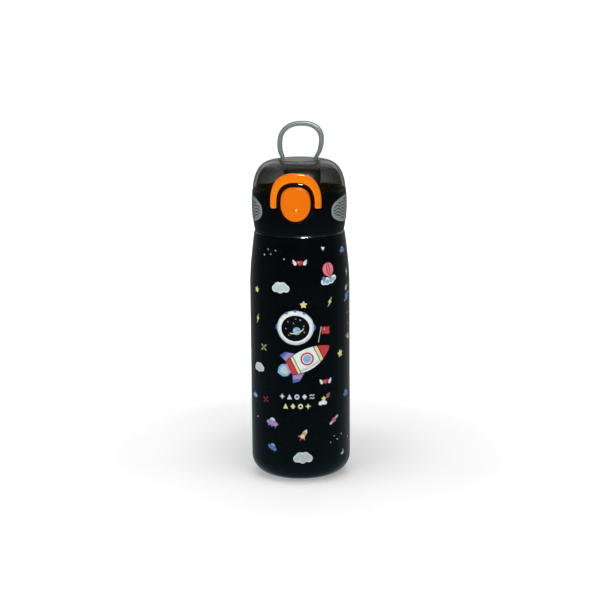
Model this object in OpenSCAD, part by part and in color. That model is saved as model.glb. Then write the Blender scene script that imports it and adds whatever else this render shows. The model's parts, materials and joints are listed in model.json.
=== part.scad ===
// Insulated kids' bottle: a vacuum steel flask under a flip-top straw lid.
// The origin is at the centre of the base. The push button faces -Y and the hinge is at +Y.

/* [Flask] */
// Outer radius of the straight body
body_r = 35; // [34.8:0.1:35.2]
// Radius of the rounded bottom edge
foot_round = 13; // [11:0.5:14]
// Height at which the shoulder starts to narrow
shoulder_z = 138; // [136:1:141]
// Height of the ledge that the lid closes on
ledge_z = 174.2; // [174:0.1:174.3]
// Outer radius of the bare steel neck
neck_r = 23; // [22.9:0.05:23.1]
// Height of the drinking rim
rim_z = 190.8; // [190.6:0.1:190.9]
// Thickness of the steel
steel_t = 0.8; // [0.6:0.1:0.8]

/* [Lid] */
// Largest outer radius of the lid collar
collar_r = 32.8; // [32.7:0.05:32.9]
// Height of the collar's flat top
collar_top = 203.5; // [203.4:0.05:203.6]
// Thickness of the clear cover
dome_t = 2.4; // [2:0.1:2.6]
// Height of the highest point of the cover
dome_top = 223.6; // [223.4:0.1:223.8]
// How far the push button travels
button_travel = 2; // [1.5:0.1:2]

/* [Lock bail] */
// Half of the bail's width
bail_half = 17.4; // [17.2:0.1:17.6]
// Height of the top of the bail
bail_top = 218.3; // [218:0.1:218.6]

/* [Carry ring] */
// Half of the ring's width
ring_half = 16; // [15.6:0.1:16.4]
// Height of the top of the ring
ring_top = 250; // [248:0.2:252]
// Depth of the ring from front to back
ring_deep = 4.4; // [4:0.1:4.6]
// How far the ring leans each way, in degrees
ring_lean = 28; // [20:1:30]

/* [Hidden] */
$fn = 96;
gap = 0.1;
far = 60;
steps = 12;

// Flask
foot_z = 0.8;
foot_lip_r = 20;
shoulder_in = 3.4;
ledge_round = 0.7;
vacuum_gap = 1.8;
flask_r = body_r - steel_t - vacuum_gap;
flask_floor = 5;
flask_round = 11;
flask_turn_z = 164;
flask_turn_r = 6;
mouth_r = neck_r - 2 * steel_t - gap;

// Collar and the parts inside it
collar_low = 174.6;
grip_mid = 190.9;
collar_wide_z = 193;
collar_bore = 28.8;
ledge_bore = 28.2;
deck_z = 199;
deck_top = 201.2;
upstand_r = 28;
upstand_t = 2.2;
upstand_top = 209.5;
upstand_slope = 6.6;
cap_r = 26.3;
cap_bore = 24.3;
cap_low = 176.5;
roof_z = 192.3;
roof_top = 194.3;
straw_r = 3.5;
straw_bore = 2.7;
straw_low = 12;
spout_r = 5.5;
spout_top = 213;
vent_y = 14;

// Button, its housing and the latch
button_y = 35.2;
button_half = 10.2;
button_mid = 197;
button_up = 11.9;
button_down = 11.7;
nub_z = 191.9;
nub_r = 2.1;
bezel_r = 34.3;
bezel_wall = 2.4;
bezel_back = 27.2;
bezel_floor = 1.2;
stem_r = 1.9;
stem_z = 196.8;
stem_end = 26.8;
latch_back = 24.6;
button_back = 31.6;

// Lock bail
bail_r = 33.1;
bail_t = 2.6;
bail_side = 4.4;
bail_band = 6.4;
bail_mid = 197;
bail_y = -30.6;
bail_z = 195.1;
bail_eye = 2.3;
bail_pin_r = 1.2;

// Cover and its hinge
dome_low = 203.8;
dome_r = 32.2;
dome_side = 5.9;
dome_crown = 1.6;
hinge_y = 31.5;
hinge_z = 203.8;
hinge_pin_r = 1.25;
knuckle_r = 2.6;
block_half = 13;
block_front = 25.5;
block_top = 214.5;
seat_r = 14.2;
seat_low = 217.3;
seat_top = 223.8;

// Carry ring
ring_t = 3.3;
ring_mid = 236;
ring_down = 16.6;
ring_neck_z = 225.5;
ring_axis_z = 221.1;
ring_bar_r = 1.7;

// ---- Curves ----

// Points of an arc about [cx, cy], from angle a to angle b
function arc(cx, cy, r, a, b, n = steps) =
    [for (i = [0:n]) [cx + r * cos(a + (b - a) * i / n), cy + r * sin(a + (b - a) * i / n)]];

function signed_power(v, p) = sign(v) * pow(abs(v), p);

// Egg-shaped outline: its upper and lower halves have their own height and squareness
function egg(half, up, down, n_up, n_down) =
    [for (a = [0:5:355])
        let (s = sin(a), p = 2 / (s > 0 ? n_up : n_down))
        [half * signed_power(cos(a), p), (s > 0 ? up : down) * signed_power(s, p)]];

// Outer radius of the flask above the straight body
function shoulder_r(z) =
    z <= shoulder_z ? body_r
    : body_r - shoulder_in * pow((z - shoulder_z) / (ledge_z - shoulder_z), 1.5);

// Outer radius of the collar, widest a little above its middle
function collar_at(z) =
    z < collar_wide_z
    ? collar_r - 1.8 * pow((collar_wide_z - z) / (collar_wide_z - collar_low), 2)
    : collar_r - 0.3 * pow((z - collar_wide_z) / (collar_top - collar_wide_z), 2);

// Half profile of the cover: steep sides and a nearly flat crown
function dome_profile(r, low, top) =
    [for (a = [0:5:90])
        [r * pow(max(cos(a), 0), 2 / dome_side), low + (top - low) * pow(sin(a), 2 / dome_crown)]];

function span(a, b, n = steps) = [for (i = [0:n]) a + (b - a) * i / n];

// ---- Helpers ----

module along_y(y_from, y_to) {
    translate([0, y_to, 0]) rotate([90, 0, 0]) linear_extrude(y_to - y_from) children();
}

module along_x(x_from, x_to, r, y, z) {
    translate([x_from, y, z]) rotate([0, 90, 0]) cylinder(r = r, h = x_to - x_from);
}

module both_sides() {
    children();
    mirror([1, 0, 0]) children();
}

module tube(r_out, r_in, low, top) {
    translate([0, 0, low]) difference() {
        cylinder(r = r_out, h = top - low);
        translate([0, 0, -1]) cylinder(r = r_in, h = top - low + 2);
    }
}

module block(x_from, x_to, y_from, y_to, z_from, z_to) {
    translate([x_from, y_from, z_from]) cube([x_to - x_from, y_to - y_from, z_to - z_from]);
}

// Wire coil along +Z, with closed ends
module coil(r, wire, length, turns, sides = 8, per_turn = 18) {
    n = round(turns * per_turn);
    points = [for (i = [0:n]) let (a = 360 * i / per_turn)
              for (k = [0:sides - 1]) let (b = 360 * k / sides)
              [(r + wire * cos(b)) * cos(a), (r + wire * cos(b)) * sin(a),
               length * i / n + wire * sin(b)]];
    walls = [for (i = [0:n - 1]) for (k = [0:sides - 1])
             let (m = (k + 1) % sides, p = i * sides, q = p + sides)
             each [[p + k, q + k, q + m], [p + k, q + m, p + m]]];
    ends = [[for (k = [0:sides - 1]) k], [for (k = [sides - 1:-1:0]) n * sides + k]];
    polyhedron(points, concat(walls, ends), convexity = 8);
}

// ---- Bottle ----

module outer_shell() {
    flat_r = body_r - foot_round;
    outside = concat(
        [[foot_lip_r, foot_z]],
        arc(flat_r, foot_z + foot_round, foot_round, -90, 0),
        [for (z = span(shoulder_z, ledge_z - ledge_round)) [shoulder_r(z), z]],
        arc(shoulder_r(ledge_z) - ledge_round, ledge_z - ledge_round, ledge_round, 0, 90, 4),
        [[neck_r, ledge_z], [neck_r, rim_z - steel_t]]);
    inside = concat(
        [[neck_r - steel_t, rim_z - steel_t], [neck_r - steel_t, ledge_z - steel_t]],
        [for (z = span(ledge_z - 2 * steel_t, shoulder_z)) [shoulder_r(z) - steel_t, z]],
        arc(flat_r, foot_z + foot_round, foot_round - steel_t, 0, -90),
        [[foot_lip_r, foot_z + steel_t]]);
    color([0.03, 0.05, 0.06]) rotate_extrude() polygon(concat(outside, inside));
}

module inner_flask() {
    neck_out = neck_r - steel_t - gap;
    turn_mid = shoulder_r(flask_turn_z) - steel_t - vacuum_gap - flask_turn_r;
    outside = concat(
        [[0, flask_floor]],
        arc(flask_r - flask_round, flask_floor + flask_round, flask_round, -90, 0),
        [for (z = span(shoulder_z, flask_turn_z)) [shoulder_r(z) - steel_t - vacuum_gap, z]],
        arc(turn_mid, flask_turn_z, flask_turn_r, 0, 90),
        [[neck_out, flask_turn_z + flask_turn_r + 1], [neck_out, rim_z - steel_t],
         [neck_r, rim_z - steel_t], [neck_r, rim_z], [mouth_r, rim_z]]);
    inside = concat(
        [[mouth_r, flask_turn_z + flask_turn_r + 1 - steel_t]],
        arc(turn_mid, flask_turn_z, flask_turn_r - steel_t, 90, 0),
        [for (z = span(flask_turn_z, shoulder_z)) [shoulder_r(z) - 2 * steel_t - vacuum_gap, z]],
        arc(flask_r - flask_round, flask_floor + flask_round, flask_round - steel_t, 0, -90),
        [[0, flask_floor + steel_t]]);
    color([0.75, 0.75, 0.74]) rotate_extrude() polygon(concat(outside, inside));
}

module base_plate() {
    color([0.7, 0.7, 0.7]) translate([0, 0, foot_z + steel_t])
        cylinder(r = foot_lip_r + 1.5, h = steel_t);
}

module base_pad() {
    color([0.08, 0.08, 0.08]) cylinder(r = foot_lip_r - 0.4, h = foot_z + steel_t);
}

// Pill that keeps the vacuum, fixed to the base plate
module getter() {
    color([0.5, 0.5, 0.48]) translate([0, 0, foot_z + 2 * steel_t]) cylinder(r = 5, h = 1.4);
}

// ---- Lid ----

// Front outline of the button housing, grown by g
module bezel_outline(g = 0) {
    up = button_up + bezel_wall + 0.1;
    down = button_down + bezel_wall - 0.6;
    translate([0, button_mid])
        polygon(egg(button_half + bezel_wall + g, up + g, down + g, 2.5, 2.1));
}

module button_outline(g = 0) {
    translate([0, button_mid])
        polygon(egg(button_half + g, button_up + g, button_down + g, 2.65, 2.05));
}

// Side outline of a grip pad, looking along X
module grip_outline(g = 0) {
    rotate([90, 0, 90]) linear_extrude(far)
        translate([0, grip_mid]) polygon(egg(22.6 + g, 9.4 + g, 9.4 + g, 2.5, 2.5));
}

// Revolved band that follows the collar's surface between two depths
module grip_band(outward, inward) {
    rotate_extrude() polygon(concat(
        [for (z = span(grip_mid - 12, grip_mid + 12)) [collar_at(z) + outward, z]],
        [for (z = span(grip_mid + 12, grip_mid - 12)) [collar_at(z) - inward, z]]));
}

module collar_wall() {
    rotate_extrude() polygon(concat(
        [for (z = span(collar_low, collar_top - 0.6, 16)) [collar_at(z), z]],
        [[collar_at(collar_top) - 0.5, collar_top], [ledge_bore, collar_top],
         [ledge_bore, deck_top + gap], [collar_bore, deck_top + gap], [collar_bore, collar_low]]));
}

module collar() {
    ear_from = 8.5;
    ear_to = 12.5;
    color([0.03, 0.035, 0.04]) difference() {
        union() {
            difference() {
                collar_wall();
                block(-block_half - 0.3, block_half + 0.3, collar_bore - 0.4, far, 199.5, 210);
            }
            both_sides() {
                along_x(ear_from, ear_to, knuckle_r, hinge_y, hinge_z);
                block(ear_from, ear_to, hinge_y - knuckle_r, hinge_y, 199.2, hinge_z);
            }
        }
        along_x(-far, far, hinge_pin_r + 0.03, hinge_y, hinge_z);
        along_y(-far, 0) bezel_outline(gap);
        both_sides() intersection() {
            grip_band(3, 1.3);
            grip_outline(gap);
        }
        both_sides() along_x(12.4, bail_half + 0.5, bail_eye + 0.6, bail_y, bail_z);
    }
}

module inner_cap() {
    color([0.9, 0.9, 0.88]) difference() {
        union() {
            tube(cap_r, cap_bore, cap_low, roof_top);
            tube(collar_bore - gap, cap_bore, cap_low, cap_low + 2);
            translate([0, 0, roof_z]) cylinder(r = cap_bore + 0.5, h = roof_top - roof_z);
        }
        translate([0, 0, roof_z - 1]) cylinder(r = straw_r + 1.1, h = 4);
        translate([0, vent_y, roof_z - 1]) cylinder(r = 1.25, h = 4);
    }
}

module cap_gasket() {
    color([0.85, 0.85, 0.85]) tube(neck_r + 1.1, mouth_r - 0.8, rim_z, roof_z);
}

module deck_tray() {
    color([0.03, 0.035, 0.04]) difference() {
        union() {
            tube(collar_bore - gap, 6.5, deck_z, deck_top);
            tube(upstand_r, upstand_r - upstand_t, deck_top - 0.2, upstand_top);
        }
        translate([0, -upstand_r, upstand_top]) rotate([-upstand_slope, 0, 0])
            block(-far, far, -2, 2 * far, 0, 20);
        block(-13, 13, -far, -bezel_back + gap, 190, 220);
        block(-7.6, 7.6, -far, -24, deck_top, 220);
        block(-3.5, 3.5, -far, -latch_back + button_travel + 0.4, 190, 220);
    }
}

module nozzle() {
    color([0.88, 0.88, 0.86]) difference() {
        union() {
            translate([0, 0, 194.5]) cylinder(r = 6.4, h = deck_top - 194.5);
            translate([0, 0, deck_top]) cylinder(r = 9, h = 1.2);
            translate([0, 0, deck_top + 1.2])
                cylinder(r1 = spout_r + 1, r2 = spout_r - 0.5, h = spout_top - deck_top - 1.2);
        }
        translate([0, 0, 190]) cylinder(r = straw_r + 1.05, h = deck_z - 190);
        translate([0, 0, 190]) cylinder(r = 2.4, h = 40);
    }
}

module straw_holder() {
    color([0.88, 0.88, 0.86]) {
        tube(straw_r + 1, straw_r + 0.05, 182, deck_z - gap);
        tube(straw_r + 3, straw_r + 0.05, roof_z - 1.7, roof_z);
    }
}

module straw() {
    color([0.9, 0.9, 0.9]) tube(straw_r, straw_bore, straw_low, 197);
}

module vent_valve() {
    color([0.85, 0.85, 0.85]) translate([0, vent_y, 0]) {
        translate([0, 0, roof_z - 1]) cylinder(r = 3.5, h = 1);
        translate([0, 0, roof_z]) cylinder(r = 1.2, h = roof_top - roof_z + 0.1);
        translate([0, 0, roof_top + 0.1]) cylinder(r = 2, h = 1.4);
    }
}

module grip() {
    color([0.44, 0.48, 0.46]) intersection() {
        grip_band(0.2, 1.2);
        grip_outline();
    }
}

module grip_right() {
    grip();
}

module grip_left() {
    mirror([1, 0, 0]) grip();
}

module button_bezel() {
    color([0.02, 0.02, 0.025]) difference() {
        intersection() {
            cylinder(r = bezel_r, h = 230);
            along_y(-far, -bezel_back) bezel_outline();
        }
        along_y(-far, -bezel_back - bezel_floor) button_outline(0.4);
        translate([0, -20, stem_z]) rotate([90, 0, 0]) cylinder(r = stem_r + 0.05, h = 20);
        along_x(-far, far, bail_pin_r + 0.05, bail_y, bail_z);
    }
}

module hinge_pin() {
    color([0.8, 0.8, 0.8]) along_x(-12.5, 12.5, hinge_pin_r, hinge_y, hinge_z);
}

module hinge_spring() {
    color([0.8, 0.8, 0.8]) translate([-3.7, hinge_y, hinge_z]) rotate([0, 90, 0])
        coil(2, 0.35, 7.4, 6);
}

module button_spring() {
    room = button_back - bezel_back - bezel_floor;
    color([0.8, 0.8, 0.8]) translate([0, -bezel_back - bezel_floor - 0.45, stem_z])
        rotate([90, 0, 0]) coil(3, 0.35, room - 0.9, 3);
}

// ---- Cover ----

module dome_cover() {
    color([0.25, 0.25, 0.23, 0.6]) difference() {
        rotate_extrude() polygon(concat(
            dome_profile(dome_r, dome_low, dome_top),
            [for (i = [18:-1:0]) dome_profile(dome_r - dome_t, dome_low, dome_top - dome_t)[i]]));
        translate([0, 0, 200]) cylinder(r = seat_r + gap, h = 40);
        along_y(-far, 0) bezel_outline(0.5);
        block(-block_half - gap, block_half + gap, 20, far, 200, block_top + gap);
    }
}

module hinge_block() {
    room = knuckle_r + 0.4;
    color([0.03, 0.035, 0.04]) difference() {
        union() {
            intersection() {
                rotate_extrude() polygon(concat(
                    [[0, dome_low]], dome_profile(dome_r - 0.2, dome_low, dome_top - 0.2)));
                block(-block_half, block_half, block_front, far, dome_low + 0.3, block_top);
            }
            both_sides() {
                along_x(4.6, 8.2, knuckle_r, hinge_y, hinge_z);
                block(4.6, 8.2, hinge_y - knuckle_r, hinge_y, hinge_z, 208);
            }
        }
        along_x(-far, far, hinge_pin_r + 0.05, hinge_y, hinge_z);
        along_x(-4.4, 4.4, room, hinge_y, hinge_z);
        both_sides() along_x(8.35, far, room, hinge_y, hinge_z);
        translate([0, 0, 200]) cylinder(r = upstand_r + 0.35, h = upstand_top + 0.5 - 200);
        block(-block_half + 2, block_half - 2, 0, block_front + 1.2, 200, block_top - 1.5);
    }
}

// Tongue that the latch holds, fixed inside the front of the cover
module cover_catch() {
    color([0.03, 0.035, 0.04]) intersection() {
        rotate_extrude() polygon(concat(
            [[0, 190], [dome_r - dome_t - gap, 190]],
            dome_profile(dome_r - dome_t - gap, dome_low, dome_top - dome_t - gap)));
        union() {
            block(-3, 3, -27, -25.8, 201.6, 213);
            block(-6, 6, -28.2, -25.4, 211.95, 217);
        }
    }
}

module dome_seal() {
    color([0.85, 0.85, 0.85]) {
        translate([0, 0, 213.3]) cylinder(r = 7.5, h = 2);
        translate([0, 0, 215.2]) cylinder(r = 5, h = seat_low - 215.2);
    }
}

module ring_seat() {
    slot = ring_deep / 2 / cos(ring_lean) + 0.2;
    slope = tan(ring_lean);
    rise = seat_top - ring_axis_z + 1;
    color([0.5, 0.52, 0.5]) difference() {
        union() {
            translate([0, 0, seat_low]) cylinder(r = seat_r, h = seat_top - seat_low);
            translate([0, 0, 218.7]) cylinder(r = seat_r + 2, h = 1.8);
        }
        along_x(-far, far, ring_bar_r + 0.05, 0, ring_axis_z);
        both_sides() {
            along_x(9.8, far, ring_deep / 2 + 0.25, 0, ring_axis_z);
            translate([9.8, 0, ring_axis_z]) rotate([90, 0, 90]) linear_extrude(far)
                polygon([[slope - slot, -1], [slot - slope, -1],
                         [slot + rise * slope, rise], [-slot - rise * slope, rise]]);
        }
    }
}

// ---- Button and bail ----

module button() {
    color([0.96, 0.47, 0.02]) {
        intersection() {
            cylinder(r = button_y, h = 230);
            along_y(-far, -button_back) button_outline();
        }
        intersection() {
            translate([0, -button_y + 1.2, nub_z]) sphere(r = nub_r + 0.3);
            block(-far, far, -far, -button_back - 0.5, 180, 200);
        }
        translate([0, -stem_end, stem_z]) rotate([90, 0, 0])
            cylinder(r = stem_r, h = button_back - stem_end);
    }
}

module latch_slider() {
    color([0.03, 0.035, 0.04]) {
        block(-4, 4, -stem_end, -latch_back, 194.9, 198.7);
        block(-3.2, 3.2, -latch_back - 0.8, -latch_back, 198.7, 203.2);
    }
}

module bail_outline() {
    translate([0, bail_mid])
        polygon(egg(bail_half, bail_top - bail_mid, bail_mid - bail_z, 2.5, 8));
}

module bail() {
    inner_up = bail_top - bail_band - bail_mid;
    color([1, 0.5, 0]) {
        intersection() {
            tube(bail_r + bail_t, bail_r, 190, 222);
            along_y(-far, 0) difference() {
                bail_outline();
                translate([0, bail_mid])
                    polygon(egg(bail_half - bail_side, inner_up, far, 2.5, 40));
            }
        }
        both_sides() {
            along_x(bail_half - bail_side, bail_half - 0.2, bail_eye, bail_y, bail_z);
            along_x(11, bail_half - bail_side + 1, bail_pin_r, bail_y, bail_z);
        }
    }
}

// ---- Carry ring ----

// Outline of the ring, shrunk by s; its legs are straight below the neck
module ring_outline(s) {
    inward = 0.36 * s;
    round_part = [for (p = egg(ring_half - s, ring_top - ring_mid - s, ring_down - inward, 2.3, 2.3))
                  if (p[1] + ring_mid > ring_neck_z) [p[0], p[1] + ring_mid]];
    leg = ring_half * pow(1 - pow((ring_mid - ring_neck_z) / ring_down, 2.3), 1 / 2.3) - s;
    polygon(concat([for (p = round_part) if (p[0] >= 0 && p[1] < ring_mid) p],
                   [for (p = round_part) if (p[1] >= ring_mid) p],
                   [for (p = round_part) if (p[0] < 0 && p[1] < ring_mid) p],
                   [[-leg, ring_neck_z], [-leg, ring_axis_z], [leg, ring_axis_z], [leg, ring_neck_z]]));
}

module carry_ring() {
    leg = ring_half * pow(1 - pow((ring_mid - ring_neck_z) / ring_down, 2.3), 1 / 2.3);
    color([0.55, 0.61, 0.58]) {
        along_y(-ring_deep / 2, ring_deep / 2) difference() {
            ring_outline(0);
            ring_outline(ring_t);
        }
        along_x(-leg, leg, ring_bar_r, 0, ring_axis_z);
        both_sides() along_x(leg - ring_t, leg, ring_deep / 2, 0, ring_axis_z);
    }
}

outer_shell();
inner_flask();
base_plate();
base_pad();
getter();
collar();
inner_cap();
cap_gasket();
deck_tray();
nozzle();
straw_holder();
straw();
vent_valve();
grip_left();
grip_right();
button_bezel();
hinge_pin();
hinge_spring();
button_spring();
dome_cover();
hinge_block();
cover_catch();
dome_seal();
ring_seat();
button();
latch_slider();
bail();
carry_ring();
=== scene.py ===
"""Looks of the kids' vacuum bottle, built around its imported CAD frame.

Lengths are in millimetres until a vertex is made: MM turns them into metres.
"""

import json
import random
from math import asin, cos, hypot, pi, radians, sin, sqrt

import bmesh
import bpy
from mathutils import Matrix, Vector


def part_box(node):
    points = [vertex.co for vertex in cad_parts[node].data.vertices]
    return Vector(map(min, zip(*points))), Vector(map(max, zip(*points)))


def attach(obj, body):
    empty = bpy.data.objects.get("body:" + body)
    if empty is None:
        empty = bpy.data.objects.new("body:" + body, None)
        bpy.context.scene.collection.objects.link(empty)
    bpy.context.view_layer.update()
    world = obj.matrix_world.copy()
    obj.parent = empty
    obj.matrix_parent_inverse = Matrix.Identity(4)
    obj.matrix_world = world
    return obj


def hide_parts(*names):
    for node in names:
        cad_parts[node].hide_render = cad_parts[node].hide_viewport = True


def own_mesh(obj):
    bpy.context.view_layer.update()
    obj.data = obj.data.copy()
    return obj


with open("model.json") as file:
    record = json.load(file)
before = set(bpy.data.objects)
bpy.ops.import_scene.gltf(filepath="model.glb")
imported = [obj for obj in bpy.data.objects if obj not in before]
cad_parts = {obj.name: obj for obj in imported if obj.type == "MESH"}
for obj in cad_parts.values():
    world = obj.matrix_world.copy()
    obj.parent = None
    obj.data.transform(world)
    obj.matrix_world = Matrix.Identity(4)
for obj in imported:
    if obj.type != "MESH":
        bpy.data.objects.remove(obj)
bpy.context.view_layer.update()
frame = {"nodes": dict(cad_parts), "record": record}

MM = 0.001
TURNS = 192
nodes = frame["nodes"]
slot_of = {part["node"]: part["material_slot"] for part in frame["record"]["subparts"]}


def cad_mm(node):
    """Lowest and highest corner of a CAD node, in millimetres."""
    low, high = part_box(node)
    return low / MM, high / MM


# ---- Sizes, from the frame where it holds them ----

shell_low, shell_high = cad_mm("outer_shell")
BODY_R = shell_high.x
FOOT_Z = shell_low.z
FOOT_ROUND = 13
NECK_R = 23
LEDGE_Z = 174.2
SHOULDER_Z = 138
SHOULDER_IN = 3.4
STEEL = 0.8
PAINT_IN = 0.12

collar_low, collar_high = cad_mm("collar")
COLLAR_R = 32.8
COLLAR_WIDE_Z = 193
COLLAR_TOP = 203.5

dome_low, dome_high = cad_mm("dome_cover")
DOME_R = 32.2
DOME_T = 2.4
DOME_TOP = 223.6

button_low, button_high = cad_mm("button")
BUTTON_HALF = button_high.x
BUTTON_MID = 197
BUTTON_UP = button_high.z - BUTTON_MID
BUTTON_DOWN = BUTTON_MID - button_low.z
BUTTON_FRONT = 35.15
NUB = (0, 191.9)
BEZEL_FRONT = 34.3
BEZEL_BACK = 27.3
BEZEL_WALL = 2.4
BEZEL_UP = BUTTON_UP + 2.5
BEZEL_DOWN = BUTTON_DOWN + 1.8

bail_low, bail_high = cad_mm("bail")
BAIL_HALF = bail_high.x
BAIL_TOP = bail_high.z
BAIL_LOW = bail_low.z
BAIL_R = 33.1
BAIL_T = 2.6
BAIL_PIVOT = (-30.6, 195.1)

ring_low, ring_high = cad_mm("carry_ring")
RING_HALF = ring_high.x
RING_TOP = ring_high.z
RING_DEEP = ring_high.y - ring_low.y
RING_MID = 236
RING_NECK_Z = 225.5
RING_AXIS_Z = 221.1

HINGE = (31.5, 203.8)


# ---- Curves ----


def arc(cx, cy, radius, start, end, count=12):
    """Points of an arc, with angles in degrees."""
    angles = [radians(start + (end - start) * i / count) for i in range(count + 1)]
    return [(cx + radius * cos(a), cy + radius * sin(a)) for a in angles]


def span(start, end, count):
    return [start + (end - start) * i / count for i in range(count + 1)]


def signed_power(value, power):
    return (1 if value >= 0 else -1) * abs(value) ** power


def egg_point(half, up, down, angle, n_up, n_down):
    """A point of an egg outline whose two halves have their own height and squareness."""
    s = sin(angle)
    power = 2 / (n_up if s > 0 else n_down)
    return half * signed_power(cos(angle), power), (up if s > 0 else down) * signed_power(s, power)


def egg(half, up, down, n_up, n_down, mid=0, count=144):
    points = [egg_point(half, up, down, 2 * pi * i / count, n_up, n_down) for i in range(count)]
    return [(x, z + mid) for x, z in points]


def shoulder_r(z):
    """Outer radius of the body at height z, above the rounded foot."""
    if z <= SHOULDER_Z:
        return BODY_R
    return BODY_R - SHOULDER_IN * ((z - SHOULDER_Z) / (LEDGE_Z - SHOULDER_Z)) ** 1.5


def body_r(z):
    """Outer radius of the body at any height."""
    drop = FOOT_Z + FOOT_ROUND - z
    if drop <= 0:
        return shoulder_r(z)
    return BODY_R - FOOT_ROUND + sqrt(max(FOOT_ROUND**2 - drop**2, 0))


def collar_r(z):
    if z < COLLAR_WIDE_Z:
        return COLLAR_R - 1.8 * ((COLLAR_WIDE_Z - z) / (COLLAR_WIDE_Z - collar_low.z)) ** 2
    return COLLAR_R - 0.3 * ((z - COLLAR_WIDE_Z) / (COLLAR_TOP - COLLAR_WIDE_Z)) ** 2


def dome_arc(radius, low, top, count=48):
    """Half profile of the cover: steep sides under a nearly flat crown."""
    angles = [radians(90 * i / count) for i in range(count + 1)]
    return [
        (radius * max(cos(a), 0) ** (2 / 5.9), low + (top - low) * sin(a) ** (2 / 1.6))
        for a in angles
    ]


def rounded_rect(width, height, radius, count=5):
    """Points of a rounded rectangle about the origin."""
    w, h = width / 2 - radius, height / 2 - radius
    points = []
    for cx, cy, start in ((w, h, 0), (-w, h, 90), (-w, -h, 180), (w, -h, 270)):
        points += arc(cx, cy, radius, start, start + 90, count)
    return points


# ---- Mesh building ----


def finish_mesh(bm, name, sharp=40):
    bmesh.ops.remove_doubles(bm, verts=bm.verts, dist=1e-7)
    bmesh.ops.recalc_face_normals(bm, faces=bm.faces)
    mesh = bpy.data.meshes.new(name)
    bm.to_mesh(mesh)
    bm.free()
    mesh.shade_smooth()
    mesh.set_sharp_from_angle(angle=radians(sharp))
    return mesh


def add_object(name, mesh):
    obj = bpy.data.objects.new(name, mesh)
    bpy.context.scene.collection.objects.link(obj)
    return obj


def piece(name, mesh, body, slot, stands_for=()):
    """A finished piece that rides on a body and has the finish of a material slot."""
    obj = add_object(name, mesh)
    if not mesh.materials:
        mesh.materials.append(materials[slot])
    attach(obj, body)
    if stands_for:
        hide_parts(*stands_for)
    return obj


def lathe(name, profile, turns=TURNS, sharp=40):
    """Closed surface of revolution about Z, from a loop of (radius, height)."""
    bm = bmesh.new()
    rings = []
    for k in range(turns):
        a = 2 * pi * k / turns
        rings.append([bm.verts.new((r * cos(a) * MM, r * sin(a) * MM, z * MM)) for r, z in profile])
    for k in range(turns):
        here, there = rings[k], rings[(k + 1) % turns]
        for i in range(len(profile)):
            j = (i + 1) % len(profile)
            if profile[i][0] > 1e-6 or profile[j][0] > 1e-6:
                bm.faces.new((here[i], there[i], there[j], here[j]))
    return finish_mesh(bm, name, sharp)


def loft_into(bm, sections):
    """Skin through sections of equally many points, in millimetres, capped at both ends."""
    rings = [[bm.verts.new(Vector(p) * MM) for p in section] for section in sections]
    for here, there in zip(rings, rings[1:]):
        for i in range(len(here)):
            j = (i + 1) % len(here)
            bm.faces.new((here[i], here[j], there[j], there[i]))
    bm.faces.new(rings[0][::-1])
    bm.faces.new(rings[-1])


def loft(name, sections, sharp=40):
    bm = bmesh.new()
    loft_into(bm, sections)
    return finish_mesh(bm, name, sharp)


def on_front(x, z, radius):
    """The point at (x, z) on an upright cylinder, on the button's side."""
    return (x, -sqrt(radius**2 - x**2), z)


def puck(rings, half, up, down, n_up, n_down, mid, count=180, lift=None):
    """Sections of an egg-shaped piece wrapped on the front. rings is a list of (inset, radius)."""
    sections = []
    for inset, radius in rings:
        outline = egg(half - inset, up - inset, down - inset, n_up, n_down, mid, count)
        sections.append(
            [on_front(x, z, radius + (lift(x, z) if lift else 0)) for x, z in outline]
        )
    return sections


def prism(name, outline, place, low, high, chamfer=0.0):
    """Prism from a 2D outline. place turns (a, b, depth) into a point."""
    cx = sum(p[0] for p in outline) / len(outline)
    cy = sum(p[1] for p in outline) / len(outline)
    reach = max(hypot(a - cx, b - cy) for a, b in outline)
    shrink = 1 - chamfer / reach
    stops = [(low, 1), (high, 1)]
    if chamfer:
        stops = [(low, shrink), (low + chamfer, 1), (high - chamfer, 1), (high, shrink)]
    sections = [
        [place(cx + (a - cx) * s, cy + (b - cy) * s, depth) for a, b in outline]
        for depth, s in stops
    ]
    return loft(name, sections)


def along_x(a, b, depth):
    return (depth, a, b)


def along_y(a, b, depth):
    return (a, depth, b)


def circle(cx, cy, radius, count=48):
    return arc(cx, cy, radius, 0, 360 - 360 / count, count - 1)


def carve(mesh, cutters):
    """The mesh with the cutters' meshes taken out of it."""
    obj = add_object("carved", mesh)
    tools = [add_object("cutter", cutter) for cutter in cutters]
    for tool in tools:
        modifier = obj.modifiers.new("cut", "BOOLEAN")
        modifier.object = tool
        modifier.operation = "DIFFERENCE"
        modifier.solver = "EXACT"
    bpy.context.view_layer.update()
    evaluated = obj.evaluated_get(bpy.context.evaluated_depsgraph_get())
    result = bpy.data.meshes.new_from_object(evaluated)
    result.materials.clear()
    for spare in [obj] + tools:
        bpy.data.objects.remove(spare)
    result.shade_smooth()
    result.set_sharp_from_angle(angle=radians(35))
    return result


def coil(name, centre, axis, radius, wire, length, turns, per_turn=32, sides=10):
    """Round wire wound about an axis through centre, with its ends rounded in."""
    axis = Vector(axis)
    turn = Vector((0, 0, 1)).rotation_difference(axis)
    count = round(turns * per_turn)
    sections = []
    for i in range(count + 1):
        a = 2 * pi * i / per_turn
        thin = min(1, 0.35 + min(i, count - i) / 2)
        out = Vector((cos(a), sin(a), 0))
        middle = out * radius + Vector((0, 0, length * i / count - length / 2))
        section = []
        for k in range(sides):
            b = 2 * pi * k / sides
            p = middle + (out * cos(b) + Vector((0, 0, sin(b)))) * wire * thin
            section.append(tuple(turn @ p + Vector(centre)))
        sections.append(section)
    return loft(name, sections, 60)


# ---- Materials ----


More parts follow.
